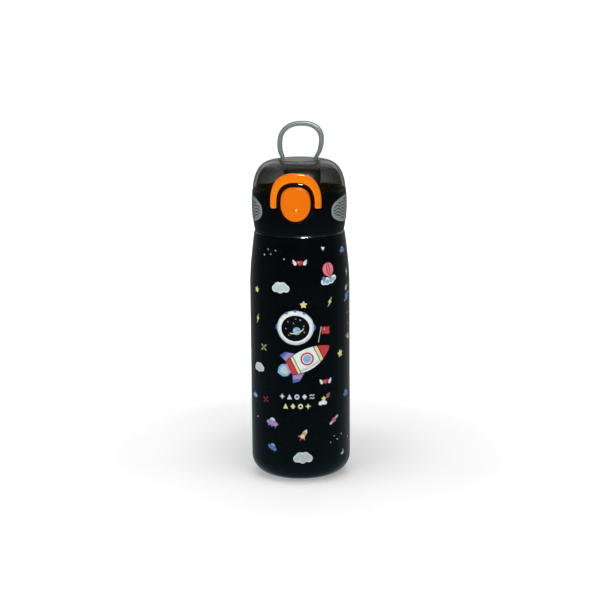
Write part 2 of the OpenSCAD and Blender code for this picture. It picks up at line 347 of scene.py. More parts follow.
def shader(name, color, roughness, **sockets):
    """A Principled material; sockets sets further inputs by name."""
    mat = bpy.data.materials.new(name)
    mat.use_nodes = True
    node = mat.node_tree.nodes["Principled BSDF"]
    node.inputs["Base Color"].default_value = (*color, 1)
    node.inputs["Roughness"].default_value = roughness
    for key, value in sockets.items():
        node.inputs[key.replace("_", " ")].default_value = value
    return mat


def new_node(mat, kind, **settings):
    node = mat.node_tree.nodes.new(kind)
    for key, value in settings.items():
        setattr(node, key, value)
    return node


def link(mat, source, target):
    mat.node_tree.links.new(source, target)


def noise(mat, scale, detail=3, stretch=(1, 1, 1)):
    """Noise in object space; scale is in bumps per metre."""
    place = new_node(mat, "ShaderNodeTexCoord")
    mapping = new_node(mat, "ShaderNodeMapping")
    mapping.inputs["Scale"].default_value = stretch
    texture = new_node(mat, "ShaderNodeTexNoise")
    texture.inputs["Scale"].default_value = scale
    texture.inputs["Detail"].default_value = detail
    link(mat, place.outputs["Object"], mapping.inputs["Vector"])
    link(mat, mapping.outputs["Vector"], texture.inputs["Vector"])
    return texture.outputs["Fac"]


def vary_roughness(mat, fac, low, high):
    spread = new_node(mat, "ShaderNodeMapRange")
    spread.inputs["From Min"].default_value = 0.3
    spread.inputs["From Max"].default_value = 0.7
    spread.inputs["To Min"].default_value = low
    spread.inputs["To Max"].default_value = high
    link(mat, fac, spread.inputs["Value"])
    link(mat, spread.outputs["Result"], mat.node_tree.nodes["Principled BSDF"].inputs["Roughness"])


def vary_color(mat, fac, dark, light):
    ramp = new_node(mat, "ShaderNodeValToRGB")
    ramp.color_ramp.elements[0].position = 0.3
    ramp.color_ramp.elements[1].position = 0.7
    ramp.color_ramp.elements[0].color = (*dark, 1)
    ramp.color_ramp.elements[1].color = (*light, 1)
    link(mat, fac, ramp.inputs["Fac"])
    link(mat, ramp.outputs["Color"], mat.node_tree.nodes["Principled BSDF"].inputs["Base Color"])


def add_bump(mat, fac, height_mm, strength=1.0):
    bump = new_node(mat, "ShaderNodeBump")
    bump.inputs["Strength"].default_value = strength
    bump.inputs["Distance"].default_value = height_mm * MM
    link(mat, fac, bump.inputs["Height"])
    link(mat, bump.outputs["Normal"], mat.node_tree.nodes["Principled BSDF"].inputs["Normal"])


def scaled(color, factor):
    return tuple(min(c * factor, 1) for c in color)


def plastic(name, color, roughness, grain=2500, height=0.006, spread=0.04, tint=0.06, **sockets):
    """Moulded plastic: fine grain, faint flow marks and uneven gloss."""
    mat = shader(name, color, roughness, **sockets)
    vary_color(mat, noise(mat, 60, 2), scaled(color, 1 - tint), scaled(color, 1 + tint))
    vary_roughness(mat, noise(mat, 220, 4), roughness - spread, roughness + spread)
    add_bump(mat, noise(mat, grain, 2), height)
    return mat


def brushed(name, color, roughness, stretch):
    """Brushed steel, with its scratches along the axis that stretch leaves short."""
    mat = shader(name, color, roughness, Metallic=1.0)
    grain = noise(mat, 700, 5, stretch)
    vary_color(mat, grain, scaled(color, 0.86), scaled(color, 1.08))
    vary_roughness(mat, grain, roughness - 0.06, roughness + 0.1)
    add_bump(mat, grain, 0.01)
    return mat


def smoke_material(name):
    """Smoky clear plastic: darker where a wall is seen edge on, with faint streaks."""
    mat = shader(name, (0.008, 0.0072, 0.002), 0.2, IOR=1.5, Specular_IOR_Level=0.35)
    facing = new_node(mat, "ShaderNodeLayerWeight")
    facing.inputs["Blend"].default_value = 0.5
    depth = new_node(mat, "ShaderNodeMapRange")
    depth.inputs["From Min"].default_value = 0.2
    depth.inputs["From Max"].default_value = 1.0
    depth.inputs["To Min"].default_value = 0.545
    depth.inputs["To Max"].default_value = 0.82
    link(mat, facing.outputs["Facing"], depth.inputs["Value"])
    link(mat, depth.outputs["Result"], mat.node_tree.nodes["Principled BSDF"].inputs["Alpha"])
    vary_roughness(mat, noise(mat, 150, 3), 0.17, 0.23)
    add_bump(mat, noise(mat, 90, 2), 0.02)
    return mat


def lacquer_material(name):
    """Deep gloss lacquer over steel, with a trace of orange peel."""
    color = (0.0012, 0.0024, 0.0034)
    mat = shader(name, color, 0.12, Coat_Weight=0.6, Coat_Roughness=0.04)
    vary_color(mat, noise(mat, 25, 2), scaled(color, 0.8), scaled(color, 1.3))
    vary_roughness(mat, noise(mat, 300, 4), 0.09, 0.16)
    add_bump(mat, noise(mat, 450, 2), 0.004)
    return mat


def orange_plastic(name, color):
    """Glossy orange plastic whose faint reflections stay warm."""
    return plastic(
        name, color, 0.24, 2600, 0.0015, 0.01, tint=0.02,
        Specular_IOR_Level=0.6, Specular_Tint=(1, 0.6, 0.2, 1),
    )


def make_materials():
    return {
        "lacquer": lacquer_material("lacquer"),
        "steel": brushed("steel", (0.62, 0.61, 0.59), 0.26, (0.05, 0.05, 1)),
        "spring_steel": brushed("spring_steel", (0.6, 0.6, 0.6), 0.22, (1, 1, 1)),
        "base_rubber": plastic("base_rubber", (0.012, 0.012, 0.013), 0.62, 1200, 0.02),
        "black_plastic": plastic(
            "black_plastic", (0.001, 0.0024, 0.0038), 0.2, 3000, 0.004, 0.02,
            Specular_IOR_Level=0.35,
        ),
        "bezel_plastic": plastic("bezel_plastic", (0.003, 0.003, 0.004), 0.14, 2000, 0.002),
        "cap_plastic": plastic("cap_plastic", (0.72, 0.72, 0.69), 0.42),
        "silicone": plastic("silicone", (0.66, 0.67, 0.65), 0.5, 1500, 0.01, Subsurface_Weight=0.15),
        "straw_plastic": plastic("straw_plastic", (0.7, 0.72, 0.72), 0.25, 1500, 0.003),
        "grip_rubber": plastic("grip_rubber", (0.175, 0.205, 0.192), 0.6, 1600, 0.012),
        # Painted shade: the grip's own rubber made darker, for the hollows between its ribs
        "grip_groove_shade": plastic("grip_groove_shade", (0.045, 0.055, 0.05), 0.7, 1600, 0.012),
        "seat_plastic": plastic("seat_plastic", (0.13, 0.135, 0.125), 0.4, 1600, 0.004),
        "ring_rubber": plastic("ring_rubber", (0.15, 0.195, 0.175), 0.48, 1600, 0.008),
        "smoke": smoke_material("smoke"),
        "orange_button": orange_plastic("orange_button", (0.85, 0.165, 0.0)),
        "orange_bail": orange_plastic("orange_bail", (0.93, 0.2, 0.0)),
    }


materials = make_materials()


# ---- CAD nodes that stay: material and smooth shading ----


def dress_cad_nodes():
    for node, obj in nodes.items():
        mesh = obj.data
        mesh.materials.clear()
        mesh.materials.append(materials[slot_of[node]])
        mesh.shade_smooth()
        mesh.set_sharp_from_angle(angle=radians(30))


dress_cad_nodes()
nodes["ring_seat"].data.materials[0] = materials["seat_plastic"]


def soften_edges(node, width):
    """Small rounded edges on a CAD node that stays in view."""
    modifier = nodes[node].modifiers.new("edge", "BEVEL")
    modifier.width = width * MM
    modifier.segments = 3
    modifier.limit_method = "ANGLE"
    modifier.angle_limit = radians(35)


for softened, edge in (("hinge_block", 0.35), ("deck_tray", 0.4), ("latch_slider", 0.2)):
    soften_edges(softened, edge)


# ---- Bottle ----


def make_shell():
    flat = BODY_R - FOOT_ROUND
    ledge_r = shoulder_r(LEDGE_Z) - PAINT_IN
    outside = [(20, FOOT_Z + 0.2), (20.2, FOOT_Z)]
    outside += arc(flat, FOOT_Z + FOOT_ROUND, FOOT_ROUND - PAINT_IN, -90, 0, 30)
    outside += [(BODY_R - PAINT_IN, z) for z in span(20, SHOULDER_Z - 4, 30)]
    outside += [(shoulder_r(z) - PAINT_IN, z) for z in span(SHOULDER_Z, LEDGE_Z - 0.7, 50)]
    outside += arc(ledge_r - 0.7, LEDGE_Z - 0.7, 0.7, 0, 90, 8)
    outside += arc(NECK_R + 0.8, LEDGE_Z + 0.8, 0.8, 270, 180, 6)
    outside += [(NECK_R, 190)]
    inside = [(NECK_R - STEEL, 190), (NECK_R - STEEL, LEDGE_Z - STEEL)]
    inside += [(shoulder_r(z) - STEEL, z) for z in span(LEDGE_Z - 2 * STEEL, SHOULDER_Z, 20)]
    inside += arc(flat, FOOT_Z + FOOT_ROUND, FOOT_ROUND - STEEL, 0, -90, 12)
    inside += [(20, FOOT_Z + STEEL)]
    mesh = lathe("shell_skin", outside + inside)
    mesh.materials.append(materials["lacquer"])
    mesh.materials.append(materials["steel"])
    for face in mesh.polygons:
        middle = face.center / MM
        bare = middle.z > LEDGE_Z + 0.3 or hypot(middle.x, middle.y) < body_r(middle.z) - 0.5 > 22
        face.material_index = 1 if bare else 0
    piece("shell_skin", mesh, "bottle", "lacquer", ["outer_shell"])


def helix_ridge(name, root_r, crest_r, low, high, pitch, start, width=1.5):
    """Raised screw thread whose height fades in and out over its first and last quarter turn."""
    per_turn = 72
    count = round((high - low) / pitch * per_turn)
    sections = []
    for i in range(count + 1):
        a = 2 * pi * i / per_turn + start
        fade = min(1, (min(i, count - i) + 0.5) / (per_turn / 4))
        z = low + (high - low) * i / count
        crest = root_r + (crest_r - root_r) * fade
        root = root_r - 0.15 * (1 if crest_r > root_r else -1)
        shape = [(root, -width / 2), (crest, -width / 5), (crest, width / 5), (root, width / 2)]
        sections.append([(r * cos(a), r * sin(a), z + h) for r, h in shape])
    return loft(name, sections, 50)


def make_threads():
    neck = helix_ridge("neck_thread", NECK_R, NECK_R + 0.75, 178, 186.5, 3.6, 0.6)
    piece("neck_thread", neck, "bottle", "steel")
    cap = helix_ridge("cap_thread", 24.3, 23.65, 179.8, 188.3, 3.6, 0.6)
    piece("cap_thread", cap, "lid", "cap_plastic")


def make_base_foot():
    """Anti-slip pad with grooves on its underside."""
    radius = cad_mm("base_pad")[1].x
    top = cad_mm("base_pad")[1].z
    profile = [(0, top), (radius, top), (radius, 0.4)]
    profile += arc(radius - 0.4, 0.4, 0.4, 0, -90, 5)
    for groove in (16, 12, 8, 4):
        profile += [(groove + 0.6, 0), (groove + 0.35, 0.45), (groove - 0.35, 0.45), (groove - 0.6, 0)]
    profile += [(0, 0)]
    piece("base_foot", lathe("base_foot", profile, 128), "bottle", "base_rubber", ["base_pad"])


make_shell()
make_threads()
make_base_foot()


# ---- Print on the body: closed plates a few hundredths of a millimetre thick ----

INKS = {
    "white": (226, 234, 232),
    "mist": (186, 204, 200),
    "night": (6, 9, 14),
    "yellow": (222, 214, 112),
    "cream": (226, 216, 160),
    "red": (196, 52, 60),
    "pink": (222, 118, 128),
    "rose": (168, 62, 84),
    "tan": (176, 118, 72),
    "blue": (72, 104, 176),
    "sky": (128, 174, 214),
    "lilac": (154, 134, 186),
    "pale_lilac": (206, 204, 226),
}
INK_LOW = 0.02
INK_STEP = 0.0176
INK_ROOT = 0.03
STRIP = 2


def linear(rgb):
    return tuple(((c / 255 + 0.055) / 1.055) ** 2.4 if c > 10 else c / 3295 for c in rgb)


def ink_material(name, rgb):
    color = linear(rgb)
    mat = shader("ink_" + name, color, 0.24)
    vary_color(mat, noise(mat, 500, 3), scaled(color, 0.9), scaled(color, 1.08))
    add_bump(mat, noise(mat, 1500, 2), 0.003)
    return mat


def shift(outline, du, dv, turn=0.0, scale=1.0):
    c, s = cos(radians(turn)) * scale, sin(radians(turn)) * scale
    return [(du + u * c - v * s, dv + u * s + v * c) for u, v in outline]


def oval(cu, cv, ru, rv, turn=0.0, count=28):
    return shift([(ru * x, rv * y) for x, y in circle(0, 0, 1, count)], cu, cv, turn)


def star(outer, inner, points=5, turn=90.0):
    outline = []
    for i in range(2 * points):
        a = radians(turn + 180 * i / points)
        r = inner if i % 2 else outer
        outline.append((r * cos(a), r * sin(a)))
    return outline


def soft_star(size):
    """Plump five-pointed star."""
    outline = []
    for i in range(60):
        a = 2 * pi * i / 60
        r = size * (0.74 + 0.2 * cos(5 * a) + 0.05 * cos(10 * a))
        outline.append((r * sin(a), r * cos(a)))
    return outline


def bumps(discs, grow=0.0, count=72):
    """Outline of overlapping discs (u, v, radius) that all cover the origin's neighbourhood."""
    outline = []
    for i in range(count):
        a = 2 * pi * i / count
        du, dv = cos(a), sin(a)
        reach = 0.1
        for cu, cv, r in discs:
            along = cu * du + cv * dv
            inside = (r + grow) ** 2 - (cu**2 + cv**2 - along**2)
            if inside > 0:
                reach = max(reach, along + sqrt(inside))
        outline.append((reach * du, reach * dv))
    return outline


def band(points, width):
    """Outline of a line of some width, with points as (u, v)."""
    left, right = [], []
    for i, (u, v) in enumerate(points):
        u0, v0 = points[max(i - 1, 0)]
        u1, v1 = points[min(i + 1, len(points) - 1)]
        size = hypot(u1 - u0, v1 - v0)
        nu, nv = -(v1 - v0) / size * width / 2, (u1 - u0) / size * width / 2
        left.append((u + nu, v + nv))
        right.append((u - nu, v - nv))
    return left + right[::-1]


def cloud():
    discs = [(-3.9, -0.6, 2.3), (-1.6, 0.7, 3.0), (1.9, 0.9, 2.9), (4.3, -0.4, 2.4), (0, -1, 2.6)]
    return [("white", 0, bumps(discs, 0.35)), ("mist", 1, bumps(discs, -0.25))]


def small_cloud():
    discs = [(-1.6, 0, 1.3), (0, 0.5, 1.5), (1.7, 0.1, 1.3)]
    return [("white", 0, bumps(discs))]


def yellow_star(size=2.6):
    return [("cream", 0, soft_star(size)), ("yellow", 1, soft_star(size * 0.72))]


def bolt():
    outline = [(1.4, 3.6), (-1.5, -0.3), (-0.1, -0.3), (-1.3, -3.6), (1.7, 0.7), (0.3, 0.7)]
    return [("yellow", 0, outline)]


def sparkle(ink):
    arms = [(ink, 0, band([(1.1 * u, 1.1 * v), (3.1 * u, 3.1 * v)], 0.6)) for u, v in
            ((0.75, 0.66), (-0.75, 0.66), (-0.75, -0.66), (0.75, -0.66))]
    return arms + [(ink, 0, oval(0, 0, 0.45, 0.45))]


def heart(size):
    outline = []
    for i in range(40):
        a = 2 * pi * i / 40
        u = 16 * sin(a) ** 3
        v = 13 * cos(a) - 5 * cos(2 * a) - 2 * cos(3 * a) - cos(4 * a) + 2.5
        outline.append((u * size / 17, v * size / 17))
    return outline


def winged_heart():
    shapes = [("red", 1, heart(2.3)), ("pink", 2, shift(heart(0.8), -0.6, 0.6))]
    for side in (-1, 1):
        for du, dv, long, tilt in ((3.6, 1.2, 1.8, 42), (3.6, 0.2, 1.5, 20), (3.2, -0.7, 1.1, 0)):
            shapes.append(("white", 0, oval(side * du, dv, long, 0.55, side * tilt, 16)))
    return shapes


def saucer(hull, glass):
    shapes = [(glass, 0, oval(0, 0.9, 1.9, 1.9)), (hull, 1, oval(0, -0.3, 4.0, 1.55))]
    shapes += [("mist", 2, oval(u, -0.5, 0.42, 0.36, 0, 12)) for u in (-2.3, 0, 2.3)]
    shapes += [(hull, 0, band([(u, -1.2), (1.35 * u, -2.6)], 0.5)) for u in (-1.9, 0, 1.9)]
    return shapes


def planet(ball, ring, size=3.0):
    sweep = [(1.75 * size * cos(radians(a)), 0.45 * size * sin(radians(a))) for a in range(-195, 16, 10)]
    return [
        (ball, 0, oval(0, 0, size, size)),
        (ring, 1, band(sweep, 0.26 * size)),
        ("white", 1, oval(-0.35 * size, 0.4 * size, 0.22 * size, 0.14 * size, 30, 12)),
    ]


def crescent(size=2.0):
    outer = arc(0, 0, size, -117.8, 117.8, 24)
    inner = arc(-0.3 * size, 0, 0.9 * size, 99, -99, 18)
    return [("white", 0, outer + inner)]


def streaks(ink):
    return [(ink, 0, band([(-1.5, v), (1.5 + 0.5 * v, v + 0.7)], 0.5)) for v in (-1, 0.1, 1.2)]


def dot(size=0.55):
    return [("mist", 0, oval(0, 0, size, size, 0, 14))]


def little_rocket():
    shapes = [
        ("cream", 0, band([(0, -2.6), (0, -1.4), (0, 0), (0, 1.6), (0, 2.6)], 2.6)),
        ("white", 0, [(-1.3, 2.55), (0, 4.6), (1.3, 2.55)]),
        ("night", 1, oval(0, 1.1, 0.85, 0.85)),
        ("mist", 2, oval(0, 1.1, 0.5, 0.5, 0, 14)),
        ("red", 0, [(-0.9, -2.7), (0.9, -2.7), (0, -5.2)]),
    ]
    shapes += [("pink", 0, [(1.35 * w, -0.4), (2.9 * w, -3.0), (1.35 * w, -2.4)]) for w in (-1, 1)]
    return shapes


def satellite():
    shapes = [("pink", 1, oval(0, 0, 1.9, 1.9)), ("rose", 2, oval(0.2, -0.1, 0.8, 0.8, 0, 16))]
    for w in (-1, 1):
        panel = [(2.2 * w, -0.9), (5.0 * w, -0.9), (5.0 * w, 0.9), (2.2 * w, 0.9)]
        shapes.append(("mist", 0, panel[::w]))
        shapes.append(("pink", 0, band([(1.2 * w, 0), (2.4 * w, 0)], 0.4)))
    return shapes


def balloon_cluster():
    """Striped hot-air balloon over a crescent."""
    discs = [(-4.2, -0.2, 2.1), (-1.4, -0.4, 2.6), (1.9, -0.4, 2.7), (4.6, 0.1, 2.0)]
    base = shift(bumps(discs), 0, -4.2)
    shapes = [("white", 0, base), ("sky", 1, shift(bumps(discs, -1.1), 0, -4.5))]
    shapes += [
        ("pink", 1, oval(1.4, 3.0, 4.4, 4.7)),
        ("rose", 2, oval(1.4, 3.0, 1.5, 4.6)),
        ("pink", 3, oval(1.4, 3.0, 0.6, 4.6)),
        ("tan", 2, [(0.1, -3.4), (2.7, -3.4), (2.9, -1.4), (-0.1, -1.4)]),
        ("blue", 1, oval(-3.6, -2.2, 1.5, 1.5)),
        ("tan", 2, oval(-3.6, -2.2, 0.7, 0.7, 0, 16)),
    ]
    return shapes


def porthole():
    """Round window that looks out at a ringed planet among stars."""
    shapes = [
        ("blue", 0, oval(-12.6, 0, 1.6, 2.4)),
        ("blue", 0, oval(12.6, 0, 1.6, 2.4)),
        ("mist", 1, oval(0, 0, 12.9, 12.0, 0, 72)),
        ("white", 2, oval(0, 0.3, 11.9, 11.0, 0, 72)),
        ("night", 3, oval(0, -0.4, 9.9, 9.0, 0, 72)),
    ]
    for angle in (60, 90, 120):
        a = radians(angle)
        shapes.append(("blue", 2, oval(12.2 * cos(a), 11.6 * sin(a), 1.0, 0.9, 0, 16)))
    for u, v, r in ((-5, 4.2, 0.35), (3.4, 5.4, 0.5), (5.8, 1.2, 0.4), (-6.6, -0.6, 0.35),
                    (0.4, 6.3, 0.3), (6.2, -3.2, 0.4), (-1.2, 3.1, 0.3), (-4.6, -5.2, 0.35)):
        shapes.append(("mist", 4, oval(u, v, r, r, 0, 12)))
    small = [(ink, 4 if layer == 0 else 5, shift(outline, 1.0, -2.2, 18))
             for ink, layer, outline in planet("sky", "cream", 2.7)]
    return shapes + small


ROCKET_SIDES = [(-13.5, 4.4), (-11, 5.5), (-7, 6.7), (-2, 7.4), (3, 7.3), (8, 6.4), (12, 5.0),
                (15.5, 3.3), (18.2, 1.6), (19.6, 0.3)]


def rocket_slice(start, end, shrink=0.0):
    def half(s):
        for (s0, w0), (s1, w1) in zip(ROCKET_SIDES, ROCKET_SIDES[1:]):
            if s0 <= s <= s1:
                return max(w0 + (w1 - w0) * (s - s0) / (s1 - s0) - shrink, 0.12)
    stops = [start] + [s for s, _ in ROCKET_SIDES if start < s < end] + [end]
    return [(s, -half(s)) for s in stops] + [(s, half(s)) for s in reversed(stops)]


def big_rocket():
    """Rocket that flies along +u."""
    flame = [(-13.2, 3.2), (-16.2, 4.6), (-19.5, 3.9), (-22.3, 0.2), (-19.6, -3.6),
             (-16.2, -4.6), (-13.2, -3.2)]
    shapes = [("sky", 1, flame), ("mist", 2, shift(flame, -6.4, 0, 0, 0.62))]
    for w in (-1, 1):
        fin = [(-3.5, 6.6 * w), (-10.6, 11.4 * w), (-15.2, 10.6 * w), (-12.6, 4.6 * w)]
        tip = [(-9.0, 10.0 * w), (-10.6, 11.4 * w), (-15.2, 10.6 * w), (-14.2, 8.4 * w)]
        shapes += [("lilac", 0, fin), ("blue", 1, tip)]
    shapes += [
        ("night", 1, rocket_slice(-13.5, 19.6, -0.5)),
        ("red", 2, rocket_slice(-13.3, -9.4)),
        ("cream", 2, rocket_slice(-8.9, -7.2)),
        ("white", 2, rocket_slice(-6.7, 8.6)),
        ("mist", 3, [(-6.4, -5.9), (0, -6.6), (8.2, -5.6), (8.2, -4.2), (0, -5.0), (-6.4, -4.4)]),
        ("cream", 2, rocket_slice(9.1, 11.3)),
        ("red", 2, rocket_slice(11.8, 19.5)),
        ("red", 3, oval(1.2, 0.4, 4.7, 4.7, 0, 40)),
        ("white", 4, oval(1.2, 0.4, 3.5, 3.5, 0, 36)),
        ("sky", 5, oval(1.2, 0.4, 2.9, 2.9, 0, 32)),
    ]
    return shapes


def pennant():
    wave = [(0.4, 2.9), (2.3, 3.5), (4.4, 2.7), (6.6, 3.3), (6.0, 0.9), (6.9, -1.6), (4.6, -2.2),
            (2.4, -1.3), (0.4, -2.0)]
    return [("mist", 0, band([(-2.2, -7.4), (0, 3.6)], 0.5)), ("red", 1, wave),
            ("pink", 2, oval(2.4, 1.5, 0.8, 0.7, 0, 14))]


def row_shape(kind, ink):
    """One of the little shapes that stand in a row."""
    if kind == 0:
        return [(ink, 0, oval(0, 0, 1.75, 1.85)), ("night", 1, oval(0, 0, 0.75, 0.8, 0, 16))]
    if kind == 1:
        return [(ink, 0, [(-1.8, -1.8), (1.8, -1.8), (0, 1.9)])]
    if kind == 2:
        return [(ink, 0, [(0, -2.0), (1.7, 0), (0, 2.0), (-1.7, 0)])]
    if kind == 3:
        return [(ink, 0, star(2.1, 0.85, 4))]
    return [(ink, 0, band([(-1.7, v - 0.5), (-0.6, v + 0.3), (0.6, v - 0.5), (1.7, v + 0.3)], 0.7))
            for v in (-1.0, 1.1)]


# Motif, azimuth in degrees from the button towards +X, height, and where needed turn and scale
SCATTER = [
    (winged_heart(), 4.5, 156.5),
    (winged_heart(), 34.3, 72.6, 0, 0.95),
    (balloon_cluster(), 37.9, 148.2, 12, 1.0),
    (cloud(), -18.3, 139.5, 0, 0.95),
    (cloud(), 6.2, 19.4),
    (cloud(), -51.2, 81, 0, 0.8),
    (yellow_star(), 8.4, 128),
    (yellow_star(), 56.6, 90.8, 10, 1.1),
    (yellow_star(), -53.6, 136, -8, 0.9),
    (bolt(), 40.2, 128.7, -8, 1.0),
    (bolt(), -52.6, 115.6, 0, 1.05),
    (bolt(), 73.4, 147, 0, 0.9),
    (sparkle("cream"), -41.9, 96.2),
    (sparkle("red"), -39.6, 59.3, 8, 0.9),
    (small_cloud(), 30.4, 57.8, 0, 1.1),
    (yellow_star(), 31.6, 60.9, 0, 0.75),
    (streaks("pink"), 37.4, 62.4, 12, 0.95),
    (saucer("blue", "sky"), 69.1, 60.6, 0, 0.95),
    (saucer("blue", "sky"), 66.9, 162.7, 0, 0.85),
    (saucer("blue", "sky"), -30.5, 25.6, -22, 1.0),
    (saucer("sky", "blue"), -60.9, 60, 0, 0.8),
    (planet("blue", "sky", 2.7), 72.1, 130, 35, 1.0),
    (streaks("white"), 71, 135.6, 10, 1.0),
    (saucer("lilac", "pale_lilac"), -30.4, 43.5, -8, 1.25),
    (little_rocket(), 7.4, 36.0, -32, 1.0),
    (satellite(), 46.0, 44.4, 35, 0.9),
    (crescent(), 59.7, 19.5, -30, 1.0),
    ([("white", 0, star(1.7, 0.8, 3, 25))], 33.7, 166),
    (planet("pink", "cream", 2.2), 76.8, 101, -15, 1.0),
    (porthole(), -1.1, 112),
    (pennant(), 28.9, 108.6),
    (big_rocket(), 10.6, 89.2, 26, 1.0),
    # the back
    (cloud(), 118, 136, 0, 0.95),
    (cloud(), 206, 60),
    (cloud(), 158, 24, 0, 0.9),
    (cloud(), 268, 118, 0, 0.85),
    (winged_heart(), 148, 154),
    (winged_heart(), 232, 86),
    (yellow_star(), 102, 112, 12, 1.1),
    (yellow_star(), 176, 134, -10, 1.0),
    (yellow_star(), 240, 30, 0, 1.1),
    (yellow_star(), 130, 62, 0, 0.9),
    (bolt(), 196, 158, 8, 1.0),
    (bolt(), 104, 40),
    (bolt(), 256, 66, -6, 1.0),
    (sparkle("cream"), 140, 96),
    (sparkle("red"), 222, 128, 10, 1.0),
    (sparkle("cream"), 192, 34, 5, 0.9),
    (saucer("lilac", "pale_lilac"), 250, 148, 10, 1.1),
    (saucer("blue", "sky"), 160, 112, -8, 1.1),
    (saucer("blue", "sky"), 224, 16),
    (little_rocket(), 186, 104, 24, 1.3),
    (little_rocket(), 116, 84, -28, 1.1),
    (satellite(), 212, 108, -25, 1.0),
    (satellite(), 124, 26, 20, 1.0),
    (planet("sky", "cream", 3.2), 172, 78, 20, 1.0),
    (planet("rose", "pink", 3.0), 278, 92, -18, 1.0),
    (planet("blue", "sky", 2.8), 146, 46, 25, 1.0),
    (balloon_cluster(), 244, 108, -8, 0.95),
    (balloon_cluster(), 182, 55, 8, 0.9),
    (crescent(), 268, 40, -20, 1.1),
    (crescent(), 166, 146, -30, 1.0),
]
DOTS = [(-36.6, 165), (-25.6, 164.7), (-42.1, 161), (-32.3, 162), (-14.1, 159.3), (58.4, 32.7),
        (46.1, 32.6), (51.1, 29.8), (40.7, 28.5), (75, 28.3), (74, 118), (76, 110), (-55, 45)]


def make_print():
    rng = random.Random(7)
    scatter = SCATTER + [(dot(rng.uniform(0.4, 0.65)), *place) for place in DOTS]
    for _ in range(26):
        speck = dot(rng.uniform(0.35, 0.6))
        scatter.append((speck, rng.uniform(95, 290), rng.uniform(20, 168)))
    for ink, height, start, kinds in (("pale_lilac", 63.2, -17, (3, 1, 0, 2, 4)),
                                      ("cream", 56.4, -13, (1, 2, 0, 3))):
        for i, kind in enumerate(kinds):
            scatter.append((row_shape(kind, ink), start + 8.6 * i, height))
    bm = bmesh.new()
    for row in scatter:
        wrap_motif(bm, *row)
    mesh = finish_mesh(bm, "body_print", 30)
    for name, rgb in INKS.items():
        mesh.materials.append(ink_material(name, rgb))
    piece("body_print", mesh, "bottle", "lacquer")


def wrap_motif(bm, motif, azimuth, height, turn=0, scale=1):
    inks = list(INKS)
    for ink, layer, outline in motif:
        turned = shift(outline, 0, 0, turn, scale)
        wrap_plate(bm, turned, azimuth, height, layer, inks.index(ink))


def wrap_plate(bm, outline, azimuth, height, layer, ink):
    """Wraps a flat outline, in mm about its own middle, on the body as a thin closed plate.

    The plate is cut into strips so that it bends. The cuts miss the outline's own points.
    """
    flat = bmesh.new()
    flat.faces.new([flat.verts.new((u, v, 0)) for u, v in outline])
    bmesh.ops.triangulate(flat, faces=flat.faces[:])
    end = max(u for u, _ in outline)
    cut = STRIP * round(min(u for u, _ in outline) / STRIP) + 0.37
    while cut < end:
        parts = flat.verts[:] + flat.edges[:] + flat.faces[:]
        bmesh.ops.bisect_plane(flat, geom=parts, plane_co=(cut, 0, 0), plane_no=(1, 0, 0))
        cut += STRIP
    round_r = body_r(height)

    def wrapped(co, lift):
        a = radians(azimuth) + co.x / round_r
        r = body_r(height + co.y) - PAINT_IN + lift
        return bm.verts.new((r * sin(a) * MM, -r * cos(a) * MM, (height + co.y) * MM))

    top = {v: wrapped(v.co, INK_LOW + INK_STEP * layer) for v in flat.verts}
    low = {v: wrapped(v.co, -INK_ROOT) for v in flat.verts}
    for face in flat.faces:
        corners = list(face.verts)
        bm.faces.new([top[v] for v in corners]).material_index = ink
        bm.faces.new([low[v] for v in reversed(corners)]).material_index = ink
    for edge in flat.edges:
        if len(edge.link_faces) == 1:
            a, b = edge.verts
            bm.faces.new((top[a], top[b], low[b], low[a])).material_index = ink
    flat.free()


make_print()


# ---- Lid ----


def bezel_outline(grow, count=144):
    half = BUTTON_HALF + BEZEL_WALL + grow
    return egg(half, BEZEL_UP + grow, BEZEL_DOWN + grow, 2.5, 2.1, BUTTON_MID, count)


def make_collar():
    top_r = collar_r(COLLAR_TOP)
    low_r = collar_r(collar_low.z)
    profile = arc(low_r - 0.5, collar_low.z + 0.5, 0.5, -90, 0, 6)
    profile += [(collar_r(z), z) for z in span(collar_low.z + 0.8, COLLAR_TOP - 0.9, 40)]
    profile += arc(top_r - 0.7, COLLAR_TOP - 0.7, 0.7, 0, 90, 8)
    profile += [(28.2, COLLAR_TOP), (28.2, 201.3), (28.8, 201.3), (28.8, collar_low.z)]
    cutters = [
        prism("hole", bezel_outline(0.12), along_y, -60, -10),
        prism("notch", [(-13.3, 199.5), (13.3, 199.5), (13.3, 210), (-13.3, 210)], along_y, 28.4, 60),
    ]
    for side in (-1, 1):
        low, high = sorted((side * 12.4, side * (BAIL_HALF + 0.5)))
        cutters.append(prism("pocket", circle(*BAIL_PIVOT, 2.9), along_x, low, high))
    mesh = carve(lathe("collar_skin", profile), cutters)
    piece("collar_skin", mesh, "lid", "black_plastic", ["collar"])


def make_hinge_ears():
    y, z = HINGE
    outline = arc(y, z, 2.6, -60, 180, 24) + [(y - 2.6, 199.3), (y - 0.6, 199.3)]
    bore = circle(y, z, 1.28, 24)
    for name, low in (("ear_right", 8.5), ("ear_left", -12.5)):
        ear = prism(name, outline, along_x, low, low + 4, 0.3)
        mesh = carve(ear, [prism("bore", bore, along_x, low - 1, low + 5)])
        piece(name, mesh, "lid", "black_plastic")


